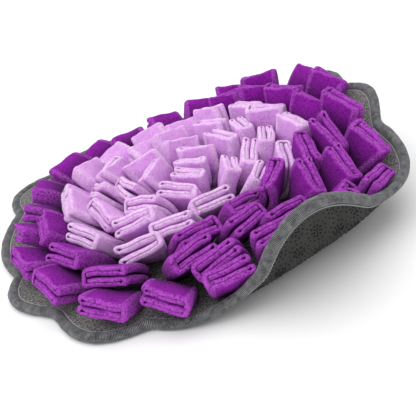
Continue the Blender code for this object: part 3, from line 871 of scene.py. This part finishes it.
# How petals differ, in millimetres: how far they open, and how far the few that gape open more,
# how slanted and how slipped their cut ends are, and how arched they lie.
OPENING_RANGE = (0.0, 0.8)
GAPING_SHARE = 0.15
GAPE_RANGE = (0.8, 3.0)
SLANT_STRAY = 1.2
SLIP_STRAY = 0.8
ARCH_STRAY = 0.8
# The slow waves over its faces: their depth, and their radians per metre across and per length.
WAVES = ((0.35 * MM, 260, 5), (0.30 * MM, 120, -9))
END_WAVE = 0.4 * MM
END_WAVE_TURN = 330


def petal_mesh(sheet, width, length, chance):
    """A whole folded petal on its settled sheet: (points, faces, edge values, depth values)."""
    line, normal, fold = folded_path(width)
    count = len(line)
    tip = TIP_ROUNDING / length
    shares = np.concatenate([PETAL_STATIONS * (1 - tip), 1 - ROUNDING_STEPS * tip])
    rounding = 1 - np.sqrt(1 - (1 - ROUNDING_STEPS) ** 2)
    rounding = np.concatenate([np.zeros(len(PETAL_STATIONS)), rounding])
    flip = chance.choice((-1, 1))
    opening = chance.uniform(*OPENING_RANGE) * MM
    gaping = chance.random() < GAPING_SHARE
    opening += gaping * chance.uniform(*GAPE_RANGE) * MM
    slant = chance.normal(0, SLANT_STRAY) * MM
    slip = chance.normal(0, SLIP_STRAY) * MM
    arch = chance.normal(0, ARCH_STRAY) * MM
    phases = chance.uniform(0, 2 * math.pi, 8)
    along = natural_spline(SHEET_SHARES, shares)
    step = 0.01
    along_ahead = natural_spline(SHEET_SHARES, shares + step)
    along_ahead = along_ahead - natural_spline(SHEET_SHARES, shares - step)
    fold_thickness = 1 - FOLD_THINNING * (fold == FOLD_HIGHLIGHT_AND_STIFFNESS)
    bend = np.concatenate([fold, fold[::-1]])
    outside = np.concatenate([normal, -normal[::-1]])
    points, edges, depths = [], [], []
    for share, rounded, line_along, line_ahead in zip(shares, rounding, along, along_ahead):
        half_layer = (LAYER / 2 * (1 - TIP_THINNING * rounded) * fold_thickness)[:, None]
        section = np.concatenate([line + normal * half_layer, (line - normal * half_layer)[::-1]])
        x, y = section[:, 0], section[:, 1]
        side = np.sign(y)
        facing = (outside * section).sum(axis=1) > 0
        outer_layers = np.abs(y) > HALF_THICK / 2
        inset = rounded * TIP_ROUNDING
        squeeze = inset / CLOSED_BY * (1 - FOLD_STIFFNESS * bend)
        y = side * BAR_MIDDLE + (y - side * BAR_MIDDLE) * (1 - squeeze)
        x = x * (1 - TIP_DRAWING_IN * inset / (width / 2))
        y = y * (ROOT_SHARE + (1 - ROOT_SHARE) * smooth_step(share / SHOULDER))
        open_share = (x / width + 0.5).clip(0, 1)
        y = y + side * opening * open_share**2 * share**2
        bow = 1 - (2 * x / width) ** 2
        y = y + side * PUFF * bow * outer_layers * math.sin(math.pi * min(share, PUFF_ENDS))
        y = y + arch * bow * share
        for n, (depth, across_turn, length_turn) in enumerate(WAVES):
            phase = phases[2 * n] + side * phases[2 * n + 1]
            y = y + depth * np.sin(x * across_turn + share * length_turn + phase)
        x = x * flip
        spread = natural_spline(SHEET_ACROSS, x / (width / 2))
        spread_ahead = natural_spline(SHEET_ACROSS, x / (width / 2) + step)
        spread_ahead = spread_ahead - natural_spline(SHEET_ACROSS, x / (width / 2) - step)
        row = np.einsum("k,kjc->jc", line_along, sheet)
        ahead = spread @ np.einsum("k,kjc->jc", line_ahead, sheet)
        out = np.cross(ahead, spread_ahead @ row)
        out /= np.linalg.norm(out, axis=1, keepdims=True)
        ahead /= np.linalg.norm(ahead, axis=1, keepdims=True)
        reach = (slant * x / width * 2 + slip * side * 0.5) * share**2
        reach = reach + END_WAVE * np.sin(x * END_WAVE_TURN + phases[4] + side) * share**4
        points.append(spread @ row + out * y[:, None] + ahead * reach[:, None])
        # The painted highlight falls on the folds' outer faces and on the cut ends by the tip.
        cut_end = smooth_step(1 - (1 - share) * length / CUT_EDGE)
        edges.append(np.maximum(bend * facing, cut_end))
        # Each point's share along the petal, from which the painted shade by the root is worked
        # out.
        depths.append(np.full(2 * count, share))
    around = 2 * count
    faces = []
    for i in range(len(shares) - 1):
        near, far = i * around, (i + 1) * around
        for k in range(around):
            m = (k + 1) % around
            faces.append((near + k, near + m, far + m, far + k))
    last = (len(shares) - 1) * around
    for a in range(count - 1):
        b, c, d = a + 1, around - 2 - a, around - 1 - a
        faces.append((d, c, b, a))
        faces.append((last + a, last + b, last + c, last + d))
    if flip < 0:
        faces = [face[::-1] for face in faces]
    return np.concatenate(points), faces, np.concatenate(edges), np.concatenate(depths)


# What the petals rest on: the felt, and the binding round it, as a grid of points.
GROUND_HALF = 0.24
GROUND_STEP = 4 * MM
GROUND_RIM_STATIONS = 16
spots = np.arange(-GROUND_HALF, GROUND_HALF, GROUND_STEP)
grid = np.stack(np.meshgrid(spots, spots), -1).reshape(-1, 2)
inset = inside_rim(grid, GROUND_RIM_STATIONS)
grid, inset = grid[inset > 0], inset[inset > 0]
level = np.where(inset < BINDING_WIDTH, BINDING_HEIGHT, FELT_HIGH)
ground_points = placed(np.column_stack([grid, level]))
ground_normals = upward(grid[:, 0], grid[:, 1])[2]

chance = np.random.default_rng(7)
sheets, members, sizes = [], [], []
for plan in RINGS:
    width, length = plan.width_mm * MM, plan.length_mm * MM
    for i in range(plan.petals):
        degrees = plan.first_deg + 360 * i / plan.pitches
        farness = (1 + math.cos(math.radians(degrees - FAR_DIRECTION))) / 2
        lean = plan.near_lean + (plan.far_lean - plan.near_lean) * farness**FAR_NARROWING
        turns = chance.uniform(-1, 1, 3) * plan.strays + (lean, 0, 0)
        turns = np.radians(STAND_OUTS.get((plan.name, i), turns))
        sheets.append(petal_sheet(plan.share, degrees, *turns, width, length))
        members.append((plan.name, i))
        sizes.append((width, length))
sheets = np.array(sheets)
sheets = settled(sheets, sheets[:, 0].mean(axis=1))

# The two fleeces: the painted shade near the root and how far up it reaches, the plain colour, the
# painted highlight on the folds and cut ends and how much it shows, the shade between the pile's
# tufts and how much it shows, the sheen and its tint, and how much light the pile lets through.
Fleece = collections.namedtuple(
    "Fleece",
    "root root_reach plain worn wear between_tufts tuft_shade sheen sheen_tint let_through",
)
FLEECES = {
    "purple": Fleece(
        # Painted shade: near black by the root, where the petals crowd and shade each other.
        root=(0.016, 0.0005, 0.026),
        root_reach=0.66,
        plain=(0.30, 0.012, 0.39),
        # Painted highlight: a lighter purple where light catches the folds and cut ends.
        worn=(0.70, 0.17, 0.82),
        wear=0.7,
        between_tufts=(0.48, 0.36, 0.50),
        tuft_shade=0.95,
        sheen=0.04,
        sheen_tint=(0.8, 0.35, 0.9),
        let_through=0.0,
    ),
    "lilac": Fleece(
        # Painted shade: a deep saturated purple by the root, where the petals shade each other.
        root=(0.50, 0.12, 0.59),
        root_reach=0.40,
        plain=(0.80, 0.425, 0.87),
        # Painted highlight: near white where light catches the folds and cut ends.
        worn=(0.93, 0.76, 0.94),
        wear=0.9,
        between_tufts=(0.72, 0.52, 0.76),
        tuft_shade=0.55,
        sheen=0.04,
        sheen_tint=(1.0, 0.85, 1.0),
        let_through=0.6,
    ),
}
WHITE = (1, 1, 1)
MOTTLE = (0.90, 0.87, 0.90)
# How many patches, tufts and hairs the pile has to the metre, how soon the painted shade at the
# root fades, how dark it is half way up a tuft, and how light glows in it.
PATCHES_PER_METRE = 90
TUFTS_PER_METRE, TUFTS_RISE = 520, 1.6
PILE_PER_METRE, PILE_RELIEF = 1300, 1.0 * MM
ROOT_SHADE_FADE = 1.9
HALF_SHADE = 0.2
GLOW_TINT, GLOW_DEPTH = (1.0, 0.45, 1.0), 3.0 * MM
fleece_materials = {}
for fleece, finish in FLEECES.items():
    material, nodes, links, shader = fibre_material(
        f"{fleece}_fleece_pile", 1.0, finish.sheen, finish.sheen_tint
    )
    shader.inputs["Subsurface Weight"].default_value = finish.let_through
    shader.inputs["Subsurface Radius"].default_value = GLOW_TINT
    shader.inputs["Subsurface Scale"].default_value = GLOW_DEPTH
    where = read_place(nodes, "pile_place")
    patches = noise_of(nodes, links, where, PATCHES_PER_METRE, 3.0)
    tufts = noise_of(nodes, links, where, TUFTS_PER_METRE, 3.0, 0.6)
    pile = noise_of(nodes, links, where, PILE_PER_METRE, 2.0)
    # The painted shade by the root gives way to the plain colour along the petal.
    rise = arithmetic(nodes, links, "MULTIPLY", read_value(nodes, "depth"), ROOT_SHADE_FADE)
    rise = arithmetic(nodes, links, "SUBTRACT", rise, finish.root_reach)
    rise.node.use_clamp = True
    colour = mixed(nodes, links, rise, finish.root, finish.plain)
    # The painted highlight on the folds and cut ends, broken up by the tufts.
    edge = arithmetic(nodes, links, "MULTIPLY", read_value(nodes, "edge"), tufts)
    edge = arithmetic(nodes, links, "MULTIPLY", edge, finish.wear)
    edge.node.use_clamp = True
    colour = mixed(nodes, links, edge, colour, finish.worn)
    half_way = [HALF_SHADE * channel + (1 - HALF_SHADE) for channel in finish.between_tufts]
    stops = ((0.36, finish.between_tufts), (0.49, half_way), (0.60, WHITE))
    shade = ramp_of(nodes, links, tufts, stops)
    colour = mixed(nodes, links, finish.tuft_shade, colour, shade, "MULTIPLY")
    shade = ramp_of(nodes, links, patches, ((0.35, MOTTLE), (0.62, WHITE)))
    colour = mixed(nodes, links, 1.0, colour, shade, "MULTIPLY")
    links.new(colour, shader.inputs["Base Color"])
    relief = arithmetic(nodes, links, "MULTIPLY", tufts, TUFTS_RISE)
    relief = arithmetic(nodes, links, "ADD", relief, pile)
    bumped(nodes, links, shader, relief, PILE_RELIEF, 0.8)
    fleece_materials[fleece] = material

for name, ring, first, last, fleece, arcs in GROUPS:
    points, faces, edges, depths, places = [], [], [], [], []
    total = 0
    strip_area = 0.0
    for n, (own_ring, i) in enumerate(members):
        if own_ring != ring or not first <= i < last:
            continue
        width, length = sizes[n]
        own_points, own_faces, own_edges, own_depths = petal_mesh(sheets[n], width, length, chance)
        points.append(own_points)
        faces += [tuple(total + k for k in face) for face in own_faces]
        edges.append(own_edges)
        depths.append(own_depths)
        # Each petal's pile is cut from another place, so that no two look alike.
        places.append(own_points + n)
        total += len(own_points)
        line = folded_path(width)[0]
        strip_area += np.linalg.norm(np.diff(line, axis=0), axis=1).sum() * length
    piece = new_piece(
        name,
        np.concatenate(points),
        faces,
        fleece_materials[fleece],
        values=[("edge", np.concatenate(edges)), ("depth", np.concatenate(depths))],
        places=[("pile_place", np.concatenate(places))],
    )
    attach(piece, "root")
    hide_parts(*[f"petals_{ring}_{arc}" for arc in arcs])
    side = math.sqrt(strip_area)

# The photograph's setting: a plain white floor, an even white sky, a wide soft light from above
# and a fainter one from the viewer's side.
FLOOR_HALF = 6.0
FLOOR_WHITE = (0.90, 0.90, 0.90, 1)
FLOOR_ROUGHNESS = 0.9
SKY_STRENGTH = 0.60
# Each light: the direction it shines in, its spread in degrees, and its strength.
LIGHTS = {
    "key_light": ((0.16, -0.16, -1.0), 80, 1.8),
    "front_light": ((0.45, 1.0, -0.7), 70, 0.8),
}
floor_material = bpy.data.materials.new("white_floor")
floor_material.use_nodes = True
shader = floor_material.node_tree.nodes["Principled BSDF"]
shader.inputs["Base Color"].default_value = FLOOR_WHITE
shader.inputs["Roughness"].default_value = FLOOR_ROUGHNESS
shader.inputs["Specular IOR Level"].default_value = 0.0
corners = [(-FLOOR_HALF, -FLOOR_HALF, 0), (FLOOR_HALF, -FLOOR_HALF, 0)]
corners += [(FLOOR_HALF, FLOOR_HALF, 0), (-FLOOR_HALF, FLOOR_HALF, 0)]
floor = new_piece("studio_floor", corners, [(0, 1, 2, 3)], floor_material)
scene = bpy.context.scene
scene.view_settings.view_transform = "Standard"
scene.world = bpy.data.worlds.new("white_studio")
scene.world.use_nodes = True
background = scene.world.node_tree.nodes["Background"]
background.inputs["Color"].default_value = (1, 1, 1, 1)
background.inputs["Strength"].default_value = SKY_STRENGTH
for name, (towards, spread, strength) in LIGHTS.items():
    light = bpy.data.lights.new(name, "SUN")
    light.angle = math.radians(spread)
    light.energy = strength
    lamp = bpy.data.objects.new(name, light)
    lamp.rotation_euler = Vector(towards).to_track_quat("-Z", "Y").to_euler()
    scene.collection.objects.link(lamp)

# The photograph's camera looks down on the near side of the mat, and is rolled a little, so the
# floor's level line runs up to the right.
CAMERA_ELEVATION = 29.03
CAMERA_ROLL = -12.8
CAMERA_DISTANCE = 0.7336
CAMERA_TARGET = (0.0088, -0.0125, 0.0)
FOCAL_PIXELS = 736.16
IMAGE_PIXELS = 416
SENSOR = 36.0
NEAREST_SEEN = 0.01
rise = math.radians(CAMERA_ELEVATION)
roll = math.radians(CAMERA_ROLL)
target = Vector(CAMERA_TARGET) - Vector(ORIGIN)
back = Vector((0, -math.cos(rise), math.sin(rise)))
right = Vector((1, 0, 0))
up = back.cross(right)
turned_right = right * math.cos(roll) + up * math.sin(roll)
turned_up = up * math.cos(roll) - right * math.sin(roll)
lens = bpy.data.cameras.new("photo_camera")
lens.sensor_width = SENSOR
lens.lens = FOCAL_PIXELS / IMAGE_PIXELS * SENSOR
lens.clip_start = NEAREST_SEEN
camera = bpy.data.objects.new("photo_camera", lens)
axes = Matrix((turned_right, turned_up, back)).transposed().to_4x4()
camera.matrix_world = Matrix.Translation(target + back * CAMERA_DISTANCE) @ axes
scene.collection.objects.link(camera)
scene.camera = camera
